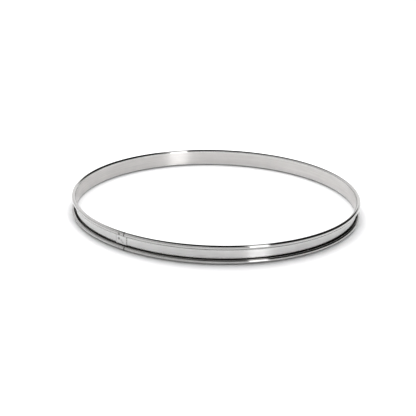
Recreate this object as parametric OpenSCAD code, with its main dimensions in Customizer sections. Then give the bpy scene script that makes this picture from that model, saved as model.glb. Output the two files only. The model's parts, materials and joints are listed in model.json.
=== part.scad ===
// Tart ring: one strip of stainless sheet with both long edges rolled outward
// into hollow beads, bent into a circle and lapped, with the lap spot welded.
// Millimetres. +Z is up. The origin is the centre of the ring, in the plane of
// the surface that it stands on. Azimuths are measured from +X towards +Y.

/* [Ring] */
// Inside diameter of the ring, the nominal size it is sold by
inner_d = 300; // [100:10:340]
// Overall height, over both rolled edges
height = 19; // [15:0.5:45]
// Thickness of the sheet
sheet_t = 0.6; // [0.4:0.1:0.8]

/* [Rolled edges] */
// Outside diameter of each rolled edge
bead_d = 4.5; // [4:0.1:5.4]
// How far each edge is rolled, from the wall round to the sheet's cut edge
curl_deg = 270; // [240:5:280]

/* [Seam] */
// Azimuth of the joint where the rolled edges butt
seam_az = -124.6; // [-180:0.1:180]
// Length of the lap, the tongue that lies on the outside of the wall
lap_len = 12.8; // [8:0.2:20]
// Gap between the butting ends of the rolled edges
butt_gap = 0.3; // [0.1:0.05:0.6]
// Length of the bend that lifts the tongue over the other end
joggle_len = 1.4; // [1:0.1:2.5]
// How far the tongue's long edges stay inside the ring's top and bottom
tongue_inset = 2.8; // [2.75:0.05:4]

/* [Marks] */
// Diameter of each spot-weld dimple in the lap
weld_d = 2.0; // [1:0.1:3]
// Depth of each spot-weld dimple
weld_depth = 0.12; // [0.05:0.01:0.2]
// Diameter of the crimp mark in each rolled edge beside the joint
crimp_d = 1.5; // [1:0.1:2]
// Depth of that crimp mark
crimp_depth = 0.22; // [0.1:0.02:0.3]

/* [Hidden] */
ri = inner_d / 2;
rb = bead_d / 2;
ro = ri + bead_d;
// centre of each rolled edge, as a distance from the ring's axis
rc = ri + rb;
edge_az = curl_deg - 180;
lap_deg = lap_len / (ri + sheet_t) * 180 / PI;
joggle_deg = joggle_len / (ri + sheet_t) * 180 / PI;
z_lo = tongue_inset;
z_hi = height - tongue_inset;
// spot welds: distance along the lap from the joint, and height as a share
welds = [[0.31, 0.38], [0.44, 0.47], [0.69, 0.54], [0.86, 0.30]];
// how far the crimp marks lie from the joint, along the ring
crimp_off = 5.8;

// a point of a plan outline, from its distance to the axis and its azimuth
function at(r, a) = [r * cos(a), r * sin(a)];

// radius of the sphere that cuts a dimple of a given width and depth
function cap_r(d, h) = (d * d / 4 + h * h) / (2 * h);

// section of one rolled edge: a tube wall of sheet, open between the cut edge
// and the ring's wall, drawn about its own centre for the bottom of the ring
module curl_section() {
    difference() {
        circle(r = rb, $fn = 96);
        circle(r = rb - sheet_t, $fn = 96);
        polygon([
            [0, 0],
            [2 * rb * cos(edge_az), 2 * rb * sin(edge_az)],
            [3 * rb * cos((edge_az + 180) / 2), 3 * rb * sin((edge_az + 180) / 2)],
            [-2 * rb, 0]
        ]);
    }
}

// section of the whole strip: straight wall between two rolled edges
module strip_section() {
    translate([ri, rb]) square([sheet_t, height - bead_d]);
    translate([rc, rb]) curl_section();
    translate([rc, height - rb]) mirror([0, 1]) curl_section();
}

// the tongue at one end of the strip, lying on the outside of the wall, and
// the bend that brings it there, a hair narrower than the tongue
module tongue() {
    rotate([0, 0, seam_az - lap_deg])
        rotate_extrude(angle = lap_deg + joggle_deg * 0.15, $fn = 360)
            translate([ri + sheet_t / 2, z_lo])
                square([sheet_t * 1.5, z_hi - z_lo]);
    translate([0, 0, z_lo + 0.05])
        linear_extrude(height = z_hi - z_lo - 0.1)
            polygon([
                at(ri + sheet_t / 2, seam_az),
                at(ri + sheet_t * 1.9, seam_az),
                at(ri + sheet_t * 1.9, seam_az + joggle_deg * 0.2),
                at(ri + sheet_t * 0.97, seam_az + joggle_deg),
                at(ri + sheet_t / 2, seam_az + joggle_deg)
            ]);
}

// room on the inside under that bend, a shallow upright groove at the joint
module joggle_pocket() {
    translate([0, 0, z_lo - 0.1])
        linear_extrude(height = z_hi - z_lo + 0.2)
            polygon([
                at(ri - 1, seam_az),
                at(ri + sheet_t * 0.85, seam_az),
                at(ri + sheet_t * 0.85, seam_az + joggle_deg * 0.1),
                at(ri, seam_az + joggle_deg * 0.85),
                at(ri - 1, seam_az + joggle_deg * 0.85)
            ]);
}

// the cut between the butting ends, through the rolled edges only: it stops
// just short of the tongue
module butt_cut() {
    for (z = [[-1, z_lo + 0.95], [z_hi + 0.05, height - z_hi + 1]])
        rotate([0, 0, seam_az])
            translate([ri - 1, -butt_gap / 2, z[0]])
                cube([bead_d + 2, butt_gap, z[1]]);
}

// one spot weld, a shallow round dimple in the outside of the tongue
module weld_dimple(along, up) {
    r = cap_r(weld_d, weld_depth);
    rotate([0, 0, seam_az - lap_deg * along])
        translate([ri + 2 * sheet_t + r - weld_depth, 0, height * up])
            sphere(r = r, $fn = 64);
}

// one crimp mark, a round dent in the outside of a rolled edge
module crimp(z, tilt) {
    r = cap_r(crimp_d, crimp_depth);
    rotate([0, 0, seam_az - crimp_off / ro * 180 / PI])
        translate([rc, 0, z])
            rotate([0, -tilt, 0])
                translate([rb + r - crimp_depth, 0, 0])
                    sphere(r = r, $fn = 64);
}

module ring() {
    color("silver")
    difference() {
        union() {
            rotate_extrude($fn = 360) strip_section();
            tongue();
        }
        joggle_pocket();
        butt_cut();
        for (w = welds) weld_dimple(w[0], w[1]);
        crimp(height - rb, -3);
        crimp(rb, 15);
    }
}

ring();
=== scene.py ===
# Tart ring: a strip of stainless sheet with both long edges rolled outward,
# bent to a circle, lapped and spot welded. Metres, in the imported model's frame.
import json
import math

import bpy
import numpy as np
from mathutils import Matrix, Vector

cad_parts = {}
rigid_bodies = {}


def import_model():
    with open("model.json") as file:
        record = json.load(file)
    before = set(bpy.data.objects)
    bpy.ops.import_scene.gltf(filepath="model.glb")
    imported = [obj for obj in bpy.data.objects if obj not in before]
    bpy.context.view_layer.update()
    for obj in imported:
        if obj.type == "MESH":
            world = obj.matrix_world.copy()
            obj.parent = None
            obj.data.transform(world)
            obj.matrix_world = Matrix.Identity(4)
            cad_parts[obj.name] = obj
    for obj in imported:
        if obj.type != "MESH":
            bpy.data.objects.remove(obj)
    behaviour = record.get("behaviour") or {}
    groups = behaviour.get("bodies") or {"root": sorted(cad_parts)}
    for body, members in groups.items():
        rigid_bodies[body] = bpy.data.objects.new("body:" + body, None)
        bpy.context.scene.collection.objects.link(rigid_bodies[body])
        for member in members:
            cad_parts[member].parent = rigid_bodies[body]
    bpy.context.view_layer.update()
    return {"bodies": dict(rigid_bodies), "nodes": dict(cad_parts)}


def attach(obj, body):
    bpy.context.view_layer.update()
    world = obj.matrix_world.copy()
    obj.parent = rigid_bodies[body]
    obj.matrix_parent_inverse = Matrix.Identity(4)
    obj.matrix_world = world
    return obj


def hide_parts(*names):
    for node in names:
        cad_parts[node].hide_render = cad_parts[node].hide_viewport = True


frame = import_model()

# ---------------------------------------------------------------- dimensions
# millimetres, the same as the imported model's
RI = 150.0          # inside radius
H = 19.0            # overall height
T = 0.6             # sheet
RB = 2.25           # outside radius of each rolled edge
RC = RI + RB        # centre line of the rolled edges
RO = RI + 2 * RB    # outermost radius
SEAM = -124.6       # azimuth of the butt joint, degrees
LAP = 12.8          # length of the tongue
GAP = 0.30          # gap at the butt joint
JOG = 1.4           # length of the joggle
Z_LO, Z_HI = 2.8, 16.2   # the tongue's long edges
CH = 0.10           # rounding of the cut edges
MM_DEG = 180.0 / math.pi / RC      # degrees per millimetre along the ring

# ------------------------------------------------------------------- section
# One rolled edge as a chain of bends, from the wall to the sheet's cut edge:
# (outside radius, turn in degrees) or (length, 0) for a straight run.
CURL = [(RB, 270.0)]


def curl_points(step_deg=10.0, step_mm=0.42):
    """Points of the outside face of one rolled edge and the normals there, for
    the upper edge, starting at the wall with the face towards the ring's axis."""
    pts, nrm, arc = [np.array([RI, 0.0])], [180.0], [0.0]
    a = 180.0
    p = np.array([RI, 0.0])
    for size, turn in CURL:
        if turn:
            n = max(1, int(round(turn / step_deg)))
            c = p - size * np.array([math.cos(math.radians(a)), math.sin(math.radians(a))])
            for i in range(1, n + 1):
                b = a - turn * i / n
                pts.append(c + size * np.array([math.cos(math.radians(b)), math.sin(math.radians(b))]))
                nrm.append(b)
                arc.append(arc[-1] + size * math.radians(turn / n))
            a -= turn
        else:
            n = max(1, int(round(size / step_mm)))
            d = np.array([math.sin(math.radians(a)), -math.cos(math.radians(a))])
            for i in range(1, n + 1):
                pts.append(p + d * size * i / n)
                nrm.append(a)
                arc.append(arc[-1] + size / n)
        p = pts[-1]
    return np.array(pts), np.radians(np.array(nrm)), np.array(arc)


cp, cn, ca = curl_points()
# the last row is pulled back by the rounding of the cut edge
tail = np.array([math.sin(cn[-1]), -math.cos(cn[-1])])
cut_point, cut_normal, cut_arc = cp[-1].copy(), cn[-1], ca[-1]
cp[-1] = cp[-1] - tail * CH
ca[-1] -= CH
NC = len(cp) - 1    # intervals in one rolled edge
ZT = H - RB         # where the wall ends and the upper edge begins
ZB = RB


def section(fine):
    """Rows across the strip, from the lower cut edge to the upper one: the
    point (r, z) of the face towards the axis, its normal, the distance along
    the strip's width; and the number of intervals on the wall."""
    if fine:
        wall = np.concatenate([np.linspace(ZB, Z_LO, 4), np.linspace(Z_LO, Z_HI, 46)[1:], np.linspace(Z_HI, ZT, 4)[1:]])
    else:
        wall = np.concatenate([[ZB, Z_LO], np.linspace(Z_LO, Z_HI, 16)[1:], [ZT]])
    up = cp + [0.0, ZT]
    low = cp * [1.0, -1.0] + [0.0, ZB]
    pts = np.concatenate([low[::-1], np.stack([np.full(len(wall) - 2, RI), wall[1:-1]], 1), up])
    ang = np.concatenate([-cn[::-1], np.full(len(wall) - 2, math.pi), cn])
    u = np.concatenate([ZB - ca[::-1], wall[1:-1], ZT + ca])
    return pts, np.stack([np.cos(ang), np.sin(ang)], 1), u, len(wall) - 1


SEC = {True: section(True), False: section(False)}
WALL_I = {True: SEC[True][3], False: SEC[False][3]}     # wall intervals
RATIO = 3                                               # fine rows per coarse row


def coarse_to_fine(i):
    if i <= NC:
        return i
    if i <= NC + WALL_I[False]:
        return NC + RATIO * (i - NC)
    return i + WALL_I[True] - WALL_I[False]


# ------------------------------------------------------------ surface detail
WELDS = [(0.31, 0.38), (0.44, 0.47), (0.69, 0.54), (0.86, 0.30)]
CRIMP = 5.8
CRIMPS = ((ZT, -3.0), (ZB, 15.0))       # height of the edge's centre, tilt
BURNISH = 6.2


def smooth(x):
    x = np.clip(x, 0.0, 1.0)
    return x * x * (3 - 2 * x)


def dent(d, radius, depth, rim=0.0):
    """A round dent: depth at the middle, and a faint raised rim around it."""
    q = d / radius
    return -depth * np.exp(-(q ** 4) * 1.2) + rim * np.exp(-((q - 1.25) / 0.28) ** 2)


def wobble(s, seed, waves, amp):
    """Smooth closed ripple along the ring: s is the azimuth in degrees."""
    rng = np.random.default_rng(seed)
    out = np.zeros_like(s, dtype=float)
    for k in waves:
        out += rng.normal() * np.cos(np.radians(k * s) + rng.uniform(0, 2 * math.pi)) / math.sqrt(len(waves))
    return amp * out


def moved(az, s, pts, nrm, u, tongue=False):
    """Points of both faces at one station. az is the azimuth, s the distance
    in millimetres from the joint along the strip, positive past the joint and
    negative on the tongue; the far end is near the full length."""
    z = pts[:, 1]
    shift = np.zeros(len(pts))
    face_i = np.zeros(len(pts))
    face_o = np.zeros(len(pts))
    full = 2 * math.pi * RC
    to_end = full - s                      # distance back from the far end
    on_wall = (u >= ZB - 1e-6) & (u <= ZT + 1e-6)
    # the wall's end is stepped out by one thickness, to lie over the other end
    keep = smooth((z - (ZB + 0.02)) / (Z_LO - ZB - 0.02)) * smooth(((ZT - 0.02) - z) / (ZT - 0.02 - Z_HI))
    keep = np.where(on_wall, keep, 0.0)
    if tongue:
        keep = np.ones(len(pts))
    step = 1.0 if s <= 0 else float(1 - smooth(np.array(s / JOG)))
    shift -= keep * step * (T + 0.03)
    # spot welds: pressed into the tongue's outside, and faintly the ring's inside
    for along, up in WELDS:
        x0 = -along * LAP
        if tongue:
            d = np.hypot((s - x0), z - H * up)
            face_o += dent(d, 0.95, 0.11, 0.012)
        elif to_end < LAP + 4:
            d = np.hypot((-to_end - x0), z - H * up)
            face_i += np.where(on_wall, dent(d, 0.9, 0.05, 0.006), 0.0)
    if not tongue:
        # crimp dents in both rolled edges, beside the joint
        if to_end < 14:
            for zc, tilt in CRIMPS:
                px = RC + RB * math.cos(math.radians(tilt))
                pz = zc + RB * math.sin(math.radians(tilt))
                d = np.sqrt((to_end - CRIMP) ** 2 + (pts[:, 0] - px) ** 2 + (z - pz) ** 2)
                near = (z > H / 2) == (zc > H / 2)
                shift += np.where(near & ~on_wall, dent(d, 0.72, 0.20, 0.0), 0.0)
        # the rolled edges are a little pinched where they butt
        e = min(s, to_end)
        pinch = math.exp(-(e / 3.2) ** 2)
        curl = np.clip(np.where(u < ZB, ZB - u, np.where(u > ZT, u - ZT, 0.0)) / 2.5, 0, 1)
        shift -= 0.07 * pinch * curl
        # hand-fed rolling leaves the edges very slightly uneven
        a = np.array([az])
        low = wobble(a, 5, range(9, 60, 3), 1.0)[0]
        top = wobble(a, 8, range(9, 60, 3), 1.0)[0]
        shift += np.where(u < ZB, curl * (0.008 * low - 0.030), np.where(u > ZT, curl * (0.008 * top - 0.030), 0.0))
        shift += np.where(on_wall, 0.006 * wobble(a, 12, range(5, 34, 2), 1.0)[0] * np.sin(np.pi * (z - ZB) / (ZT - ZB)) ** 2, 0.0)
    i = pts + nrm * (shift + face_i)[:, None]
    o = pts - nrm * T + nrm * shift[:, None] - nrm * face_o[:, None]
    return i, o


# ---------------------------------------------------------------------- mesh
verts, faces, coords = [], [], []
s_now = [0.0]


def add(az, rz, u, side):
    """Adds one row of points at an azimuth and returns their numbers."""
    c, s_ = math.cos(math.radians(az)), math.sin(math.radians(az))
    first = len(verts)
    for (r, z), uu in zip(rz, u):
        verts.append((r * c, r * s_, z))
        coords.append((uu, side, s_now[0]))
    return list(range(first, len(verts)))


def station(az, s, fine, inset=0.0):
    s_now[0] = s
    pts, nrm, u, _ = SEC[fine]
    i, o = moved(az, s, pts, nrm, u)
    if inset:
        m = (i - o) / np.linalg.norm(i - o, axis=1)[:, None]
        i = i - m * inset
        o = o + m * inset
    ids_i = add(az, i, u, 0.0)
    ids_o = add(az, o, u, 1.0)
    # the rounded cut edges, below and above
    cut = []
    for end, k in ((0, -1), (-1, 1)):
        n_ = nrm[end]
        t_ = np.array([-n_[1], n_[0]]) if end == 0 else np.array([n_[1], -n_[0]])
        a_ = i[end] + t_ * CH - n_ * CH
        b_ = o[end] + t_ * CH + n_ * CH
        cut.append(add(az, [a_, b_], [u[end] + k * CH] * 2, 0.5))
    return {"i": ids_i, "o": ids_o, "low": cut[0], "up": cut[1], "fine": fine}


def loop(st):
    """The closed outline of a station: face i from bottom to top, the upper
    cut edge, face o back down, the lower cut edge."""
    return st["i"] + st["up"] + st["o"][::-1] + st["low"][::-1]


def join(a, b):
    """Faces between two stations."""
    if a["fine"] == b["fine"]:
        la, lb = loop(a), loop(b)
        n = len(la)
        for k in range(n):
            faces.append((la[k], la[(k + 1) % n], lb[(k + 1) % n], lb[k]))
        return
    flip = not a["fine"]
    f, c = (b, a) if flip else (a, b)
    out = []
    for side, rev in (("i", False), ("o", True)):
        for k in range(len(c[side]) - 1):
            p, q = coarse_to_fine(k), coarse_to_fine(k + 1)
            ring_f = [f[side][x] for x in range(p, q + 1)]
            poly = ring_f + [c[side][k + 1], c[side][k]]
            out.append(poly[::-1] if rev else poly)
    # cut edges
    for (fa, fb), (ca_, cb_) in (
        ((f["i"][-1], f["up"][0]), (c["i"][-1], c["up"][0])),
        ((f["up"][0], f["up"][1]), (c["up"][0], c["up"][1])),
        ((f["up"][1], f["o"][-1]), (c["up"][1], c["o"][-1])),
        ((f["o"][0], f["low"][1]), (c["o"][0], c["low"][1])),
        ((f["low"][1], f["low"][0]), (c["low"][1], c["low"][0])),
        ((f["low"][0], f["i"][0]), (c["low"][0], c["i"][0])),
    ):
        out.append([fa, fb, cb_, ca_])
    for poly in out:
        faces.append(tuple(poly[::-1] if flip else poly))


def cap(st, k0, k1, end):
    """Closes a station between rows k0 and k1."""
    out = [(st["i"][k], st["i"][k + 1], st["o"][k + 1], st["o"][k]) for k in range(k0, k1)]
    if k0 == 0:
        out.append((st["low"][0], st["i"][0], st["o"][0], st["low"][1]))
    if k1 == len(st["i"]) - 1:
        out.append((st["i"][-1], st["up"][0], st["up"][1], st["o"][-1]))
    for f in out:
        faces.append(f if end > 0 else f[::-1])


full = 2 * math.pi * RC
half = GAP / 2
rows = [half + CH]
rows += list(np.arange(1, 11) * 0.14 + rows[0])
while rows[-1] < 3.0:
    rows.append(rows[-1] + 0.28)
n_fine_b = len(rows)
step = 0.4
while rows[-1] < 20:
    rows.append(rows[-1] + step)
    step = min(step * 1.25, 1.9)
end_a = full - half - CH
back = [end_a]
while full - back[-1] < LAP + 2.0:
    back.append(back[-1] - 0.3)
n_fine_a = len(back)
step = 0.4
while full - back[-1] < 30:
    back.append(back[-1] - step)
    step = min(step * 1.25, 1.9)
n_mid = int(round((back[-1] - rows[-1]) / 2.0))
mid = list(np.linspace(rows[-1], back[-1], n_mid + 1)[1:-1])
all_s = rows + mid + back[::-1]
is_fine = [True] * n_fine_b + [False] * (len(all_s) - n_fine_a - n_fine_b) + [True] * n_fine_a

stations = [station(SEAM + s * MM_DEG, s, f) for s, f in zip(all_s, is_fine)]
first = station(SEAM + half * MM_DEG, half, True, inset=CH * 0.8)
last = station(SEAM + (full - half) * MM_DEG, full - half, True, inset=CH * 0.8)

# the rows that carry on as the tongue keep their full thickness
k0 = NC + 3
k1 = NC + 3 + 45
pts_f, nrm_f, u_f, _ = SEC[True]


def tongue_row(s, inset=0.0, shorten=0.0):
    s_now[0] = s
    sl = slice(k0, k1 + 1)
    i, o = moved(SEAM + s * MM_DEG, s, pts_f[sl], nrm_f[sl], u_f[sl], tongue=True)
    m = np.array([[-1.0, 0.0]])
    i = i - m * inset
    o = o + m * inset
    if shorten:
        zc = (Z_LO + Z_HI) / 2
        for a_ in (i, o):
            a_[:, 1] = zc + (a_[:, 1] - zc) * (1 - shorten / (zc - Z_LO))
    az = SEAM + s * MM_DEG
    return {"i": add(az, i, u_f[sl], 0.0), "o": add(az, o, u_f[sl], 1.0)}


# replace the tongue rows of the first station by uninset ones
t0 = tongue_row(half)
for side in ("i", "o"):
    first[side] = first[side][:k0] + t0[side] + first[side][k1 + 1:]

seq = [first] + stations + [last]
for a, b in zip(seq[:-1], seq[1:]):
    join(a, b)
cap(first, 0, k0, -1)
cap(first, k1, len(first["i"]) - 1, -1)
cap(last, 0, len(last["i"]) - 1, 1)

tongue_s = [half]
while tongue_s[-1] > -LAP + 0.35:
    tongue_s.append(tongue_s[-1] - 0.3)
tongue_s[-1] = -LAP + CH
prev = {"i": first["i"][k0:k1 + 1], "o": first["o"][k0:k1 + 1]}
for n_, s in enumerate(tongue_s[1:] + [-LAP]):
    tip = s == -LAP
    cur = tongue_row(s, inset=CH * 0.9 if tip else 0.0, shorten=CH * 0.9 if tip else 0.0)
    for k in range(k1 - k0):
        faces.append((cur["i"][k], cur["i"][k + 1], prev["i"][k + 1], prev["i"][k]))
        faces.append((cur["o"][k + 1], cur["o"][k], prev["o"][k], prev["o"][k + 1]))
    faces.append((cur["i"][-1], cur["o"][-1], prev["o"][-1], prev["i"][-1]))
    faces.append((cur["o"][0], cur["i"][0], prev["i"][0], prev["o"][0]))
    prev = cur
for k in range(k1 - k0):
    faces.append((prev["i"][k + 1], prev["i"][k], prev["o"][k], prev["o"][k + 1]))

# drop points that no face uses
verts = np.array(verts, float)
coords = np.array(coords, float)
used = np.zeros(len(verts), bool)
for f in faces:
    used[list(f)] = True
new = np.cumsum(used) - 1
verts = verts[used] * 0.001
coords = coords[used]
faces = [tuple(int(new[v]) for v in f) for f in faces]

mesh = bpy.data.meshes.new("tart_ring")
mesh.from_pydata([tuple(v) for v in verts], [], faces)
mesh.validate(verbose=False)
mesh.update()

# outward faces
import bmesh
bm = bmesh.new()
bm.from_mesh(mesh)
bmesh.ops.recalc_face_normals(bm, faces=bm.faces)
open_edges = sum(1 for e in bm.edges if not e.is_manifold)
if bm.calc_volume(signed=True) < 0:
    bmesh.ops.reverse_faces(bm, faces=bm.faces)
for f in bm.faces:
    f.smooth = True
for e in bm.edges:
    if e.is_manifold and e.calc_face_angle(0.0) > math.radians(34):
        e.smooth = False
print("ring: %d faces, %d open edges, %.0f mm3" % (len(bm.faces), open_edges, bm.calc_volume() * 1e9))
bm.to_mesh(mesh)
bm.free()

# distance across the strip, and which face, for the finish
att = mesh.attributes.new("strip", "FLOAT_VECTOR", "POINT")
ang = np.arctan2(verts[:, 1], verts[:, 0])
vec = np.stack([RC * np.cos(ang), RC * np.sin(ang), coords[:, 0]], 1)
att.data.foreach_set("vector", vec.astype(np.float32).ravel())
# the rolling tool burnishes the rolled edges and the wall right beside them; the same mask darkens their colour as
# painted shade
reach = np.where(coords[:, 1] > 0.25, BURNISH, ZB + 0.2)
edge = np.clip(np.maximum(reach - coords[:, 0], coords[:, 0] - (H - reach)) / 1.0, 0, 1)
att = mesh.attributes.new("rolled", "FLOAT", "POINT")
att.data.foreach_set("value", edge.astype(np.float32))
wall_in = (coords[:, 1] < 0.25) & (coords[:, 0] > ZB + 0.1) & (coords[:, 0] < ZT - 0.1)
att = mesh.attributes.new("inner", "FLOAT", "POINT")
att.data.foreach_set("value", wall_in.astype(np.float32))
# dark marks of the joint: painted shade in the gap where the rolled edges butt,
# at the step and along the end of the tongue; the heat tint and soot of the spot welds; and darker crimp dents
along = coords[:, 2]
back = coords[:, 2] - full
u_ = coords[:, 0]
outer = coords[:, 1] > 0.25


def band(x, centre, half_width):
    return np.exp(-((x - centre) / half_width) ** 2)


on_curl = (u_ < ZB) | (u_ > ZT)
arc = np.maximum(ZB - u_, u_ - ZT)
# painted shade in the butt gap, strongest in two spots on each rolled edge
blobs = 0.45 + 0.55 * np.maximum(band(arc, 8.1, 1.2), band(arc, 4.4, 1.0))
mark = np.where(on_curl, np.maximum(band(along, 0.0, 0.75), band(back, 0.0, 0.75)) * blobs, 0.0)
# painted shade: the upper part of the lower rolled edge, which faces up, and the outer wall's foot just above it are
# darkened
mark = np.maximum(mark, np.where(u_ < ZB, smooth((arc - 7.4) / 1.6) * 0.25, 0.0))
mark = np.maximum(mark, np.where((u_ >= ZB) & outer, smooth((6.0 - u_) / 1.2) * 0.22, 0.0))
# painted shade along the step and on both sides of the tongue's end, where the sheets overlap
step_z = (u_ > Z_LO - 0.2) & (u_ < Z_HI + 0.2)
mark = np.maximum(mark, np.where(step_z & outer, band(along, 0.9, 0.45) * (0.46 + 0.18 * np.sin(u_ * 2.6)), 0.0))
mark = np.maximum(mark, np.where(step_z & outer, band(along, -LAP, 0.30) * 0.75, 0.0))
mark = np.maximum(mark, np.where(step_z & outer, band(back, -LAP - 0.15, 0.35) * 0.6, 0.0))
for (w_along, w_up), heat in zip(WELDS, (0.42, 0.42, 0.95, 0.12)):
    for x in (along, back):
        d_ = np.hypot(x + w_along * LAP, u_ - H * w_up)
        mark = np.maximum(mark, np.where(outer | (x is back), (band(d_, 0.0, 0.70) + 0.30 * band(d_, 1.25, 0.4)) * heat, 0.0))
for cz, tilt in CRIMPS:
    px = RC + RB * math.cos(math.radians(tilt))
    pz = cz + RB * math.sin(math.radians(tilt))
    rr = np.hypot(verts[:, 0], verts[:, 1]) * 1000.0
    d_ = np.sqrt((back + CRIMP) ** 2 + (rr - px) ** 2 + (verts[:, 2] * 1000.0 - pz) ** 2)
    mark = np.maximum(mark, band(d_, 0.0, 1.1) * (1.0 if cz > H / 2 else 0.25))
att = mesh.attributes.new("mark", "FLOAT", "POINT")
att.data.foreach_set("value", np.clip(mark, 0, 1).astype(np.float32))

ring = bpy.data.objects.new("tart_ring", mesh)
bpy.context.scene.collection.objects.link(ring)

# ------------------------------------------------------------------ material
mat = bpy.data.materials.new("stainless")
mat.use_nodes = True
nt = mat.node_tree
nt.nodes.clear()


def node(kind, **props):
    n = nt.nodes.new(kind)
    for k, v in props.items():
        setattr(n, k, v)
    return n


def link(a, b):
    nt.links.new(a, b)


out = node("ShaderNodeOutputMaterial")
bsdf = node("ShaderNodeBsdfPrincipled")
link(bsdf.outputs[0], out.inputs[0])
bsdf.inputs["Metallic"].default_value = 1.0
bsdf.inputs["Anisotropic"].default_value = 1.0
bsdf.inputs["Anisotropic Rotation"].default_value = 0.25
tan = node("ShaderNodeTangent", direction_type="RADIAL", axis="Z")
link(tan.outputs[0], bsdf.inputs["Tangent"])

strip = node("ShaderNodeAttribute", attribute_name="strip")
rolled = node("ShaderNodeAttribute", attribute_name="rolled")
marks = node("ShaderNodeAttribute", attribute_name="mark")


def scaled(sx, sz):
    m = node("ShaderNodeMapping", vector_type="POINT")
    m.inputs["Scale"].default_value = (sx, sx, sz)
    link(strip.outputs["Vector"], m.inputs["Vector"])
    return m.outputs[0]


def noise(vec, detail=3.0, rough=0.55):
    n = node("ShaderNodeTexNoise", noise_dimensions="3D")
    n.inputs["Scale"].default_value = 1.0
    n.inputs["Detail"].default_value = detail
    n.inputs["Roughness"].default_value = rough
    link(vec, n.inputs["Vector"])
    return n.outputs["Fac"]


def remap(val, a, b, c, d, kind="LINEAR"):
    m = node("ShaderNodeMapRange", interpolation_type=kind)
    for name, x in zip(("From Min", "From Max", "To Min", "To Max"), (a, b, c, d)):
        m.inputs[name].default_value = x
    link(val, m.inputs["Value"])
    return m.outputs["Result"]


def math_(op, a, b):
    m = node("ShaderNodeMath", operation=op)
    for i_, x in enumerate((a, b)):
        if isinstance(x, (int, float)):
            m.inputs[i_].default_value = x
        else:
            link(x, m.inputs[i_])
    return m.outputs[0]


fine_lines = noise(scaled(0.035, 7.0), detail=4.0, rough=0.6)
broad_lines = noise(scaled(0.014, 0.9), detail=2.0)
cloud = noise(scaled(0.06, 0.12), detail=3.0)
# colour: near neutral, a touch warm, with very slight lines and clouds
mix = node("ShaderNodeMix", data_type="RGBA")
mix.inputs["A"].default_value = (0.718, 0.715, 0.710, 1)
mix.inputs["B"].default_value = (0.838, 0.834, 0.829, 1)
tone = math_("ADD", math_("MULTIPLY", fine_lines, 0.45), math_("MULTIPLY", cloud, 0.35))
tone = math_("ADD", tone, math_("MULTIPLY", broad_lines, 0.5))
link(remap(tone, 0.44, 0.86, 0.0, 1.0), mix.inputs["Factor"])
# the marks get a dark colour: weld heat tint and soot, darker crimp dents, and painted shade at the joint, in the lower
# channel and at the wall's foot
tint_and_shade = node("ShaderNodeMix", data_type="RGBA")
link(marks.outputs["Fac"], tint_and_shade.inputs["Factor"])
# painted shade: the colour of the rolled edges and the outer wall near them is darkened
edge_shade = node("ShaderNodeMix", data_type="RGBA", blend_type="MULTIPLY")
link(rolled.outputs["Fac"], edge_shade.inputs["Factor"])
# painted shade: the face towards the axis is made a touch darker and warmer
inner_shade = node("ShaderNodeMix", data_type="RGBA", blend_type="MULTIPLY")
inner = node("ShaderNodeAttribute", attribute_name="inner")
link(inner.outputs["Fac"], inner_shade.inputs["Factor"])
link(mix.outputs["Result"], inner_shade.inputs["A"])
inner_shade.inputs["B"].default_value = (0.882, 0.869, 0.860, 1)
link(inner_shade.outputs["Result"], edge_shade.inputs["A"])
edge_shade.inputs["B"].default_value = (0.695, 0.693, 0.690, 1)
link(edge_shade.outputs["Result"], tint_and_shade.inputs["A"])
tint_and_shade.inputs["B"].default_value = (0.060, 0.052, 0.044, 1)
link(tint_and_shade.outputs["Result"], bsdf.inputs["Base Color"])
# roughness: bright rolled sheet with fine drawn lines in it, which scatter
# far more than the sheet between them; the rolled edges are burnished
drawn = remap(fine_lines, 0.54, 0.66, 0.0, 1.0, "SMOOTHSTEP")
WALL_R, LINE_R, EDGE_R, EDGE_LINE_R = 0.34, 0.50, 0.06, 0.20


def blend(fac, a, b):
    m = node("ShaderNodeMix", data_type="FLOAT")
    link(fac, m.inputs["Factor"])
    for name, x in (("A", a), ("B", b)):
        if isinstance(x, (int, float)):
            m.inputs[name].default_value = x
        else:
            link(x, m.inputs[name])
    return m.outputs["Result"]


rough_wall = blend(drawn, WALL_R, LINE_R)
rough_edge = blend(drawn, EDGE_R, EDGE_LINE_R)
link(blend(rolled.outputs["Fac"], rough_wall, rough_edge), bsdf.inputs["Roughness"])
bump = node("ShaderNodeBump")
bump.inputs["Strength"].default_value = 0.1
bump.inputs["Distance"].default_value = 0.00001
link(fine_lines, bump.inputs["Height"])
link(bump.outputs[0], bsdf.inputs["Normal"])
mesh.materials.append(mat)

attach(ring, "root" if "root" in frame["bodies"] else sorted(frame["bodies"])[0])
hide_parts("ring")

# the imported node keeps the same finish
for n_ in frame["nodes"].values():
    n_.data.materials.clear()
    n_.data.materials.append(mat)

# --------------------------------------------------------------------- floor
fm = bpy.data.meshes.new("floor")
R_F, NF = 9.0, 96
fm.from_pydata(
    [(R_F * math.cos(2 * math.pi * k / NF), R_F * math.sin(2 * math.pi * k / NF), 0.0) for k in range(NF)],
    [], [tuple(range(NF))])
floor = bpy.data.objects.new("floor", fm)
bpy.context.scene.collection.objects.link(floor)
fmat = bpy.data.materials.new("pale_floor")
fmat.use_nodes = True
fb = fmat.node_tree.nodes["Principled BSDF"]
fb.inputs["Base Color"].default_value = (0.86, 0.86, 0.865, 1)
fb.inputs["Roughness"].default_value = 1.0
fb.inputs["Specular IOR Level"].default_value = 0.0
fm.materials.append(fmat)

# --------------------------------------------------------------------- light
world = bpy.data.worlds.new("studio")
bpy.context.scene.world = world
world.use_nodes = True
wt = world.node_tree
wt.nodes.clear()


def wnode(kind, **props):
    n = wt.nodes.new(kind)
    for k, v in props.items():
        setattr(n, k, v)
    return n


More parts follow.
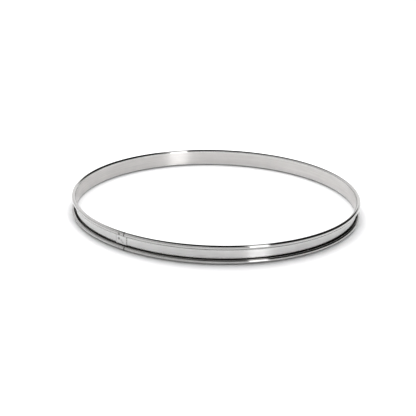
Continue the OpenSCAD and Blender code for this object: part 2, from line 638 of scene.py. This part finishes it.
def wmath(op, a, b=None):
    m = wnode("ShaderNodeMath", operation=op)
    for i_, x in enumerate((a, b)):
        if x is None:
            continue
        if isinstance(x, (int, float)):
            m.inputs[i_].default_value = x
        else:
            wt.links.new(x, m.inputs[i_])
    return m.outputs[0]


def wmap(val, a, b, c, d):
    m = wnode("ShaderNodeMapRange", interpolation_type="SMOOTHSTEP")
    for name, x in zip(("From Min", "From Max", "To Min", "To Max"), (a, b, c, d)):
        m.inputs[name].default_value = x
    wt.links.new(val, m.inputs["Value"])
    return m.outputs["Result"]


WALLS, STRIP = 0.80, 2.2
STRIP_AT, STRIP_LEAN = 0.320, 0.04
wo = wnode("ShaderNodeOutputWorld")
bg = wnode("ShaderNodeBackground")
wt.links.new(bg.outputs[0], wo.inputs[0])
tc = wnode("ShaderNodeTexCoord")
sep = wnode("ShaderNodeSeparateXYZ")
wt.links.new(tc.outputs["Generated"], sep.inputs[0])
X, Y, Z = sep.outputs


def dot(c):
    return wmath("ADD", wmath("ADD", wmath("MULTIPLY", X, c[0]), wmath("MULTIPLY", Y, c[1])), wmath("MULTIPLY", Z, c[2]))


def unit(x, y, z):
    n = math.sqrt(x * x + y * y + z * z)
    return x / n, y / n, z / n


# open studio: bright walls, a dark ceiling that comes down lower at the right
# and at the back
dark_c = unit(0.33, 0.257, 0.905)
d = dot(dark_c)
dark = wmap(d, math.cos(math.radians(54)), math.cos(math.radians(45)), 0.0, 1.0)
# the walls are brighter at the back and at the right than at the front
walls = wmath("ADD", WALLS, wmath("MULTIPLY", dot((0.34, 0.95, 0.0)), 0.16))
level = wmath("MULTIPLY", walls, wmath("SUBTRACT", 1.0, wmath("MULTIPLY", dark, 0.97)))
# thin darker line where the sweep ends
hor = wmath("MULTIPLY", wmap(Z, -0.01, 0.012, 0.0, 1.0), wmap(Z, 0.05, 0.09, 1.0, 0.0))
level = wmath("MULTIPLY", level, wmath("SUBTRACT", 1.0, wmath("MULTIPLY", hor, 0.5)))
# a long strip light, from low at the front right up and over the ring
across = wmath("SUBTRACT", dot((0.966, 0.259, 0.0)), wmath("SUBTRACT", STRIP_AT, wmath("MULTIPLY", Z, STRIP_LEAN)))
width = wmath("SUBTRACT", 0.139, wmath("MULTIPLY", Z, 0.06))
arch = wmap(wmath("DIVIDE", wmath("ABSOLUTE", across), width), 0.85, 1.15, 1.0, 0.0)
arch = wmath("MULTIPLY", arch, wmap(Z, 0.05, 0.12, 0.0, 1.0))
arch = wmath("MULTIPLY", arch, wmap(Y, 0.25, 0.45, 1.0, 0.0))
arch = wmath("MULTIPLY", arch, wmap(Z, 0.12, 0.60, 1.0, 0.60))
level = wmath("ADD", level, wmath("MULTIPLY", arch, STRIP))
wt.links.new(level, bg.inputs["Strength"])
bg.inputs["Color"].default_value = (1.0, 1.0, 1.0, 1)

# the overhead fill for the floor; the metal doesn't mirror it
fill = bpy.data.lights.new("fill", "AREA")
fill.shape = "RECTANGLE"
fill.size, fill.size_y = 1.8, 1.8
fill.energy = 28.0
fill_ob = bpy.data.objects.new("fill", fill)
fill_ob.location = (0.0, 0.64, 1.38)
fill_ob.rotation_euler = (-0.43, 0.0, 0.0)
fill_ob.visible_glossy = False
bpy.context.scene.collection.objects.link(fill_ob)

scene = bpy.context.scene
scene.view_settings.view_transform = "Standard"
scene.view_settings.look = "High Contrast"
scene.view_settings.exposure = -0.20

# -------------------------------------------------------------------- camera
cam = bpy.data.cameras.new("camera")
cam.sensor_width = 36.0
cam.lens = 84.85264
cam.clip_start = 0.05
cam.clip_end = 60.0
cam_ob = bpy.data.objects.new("camera", cam)
bpy.context.scene.collection.objects.link(cam_ob)
cam_ob.rotation_mode = "QUATERNION"
cam_ob.location = (0.0, -0.9969010, 0.3704586)
cam_ob.rotation_quaternion = (0.8210727761488583, 0.5706537181171232, -0.004347351740336533, 0.013226140750630671)
scene.camera = cam_ob
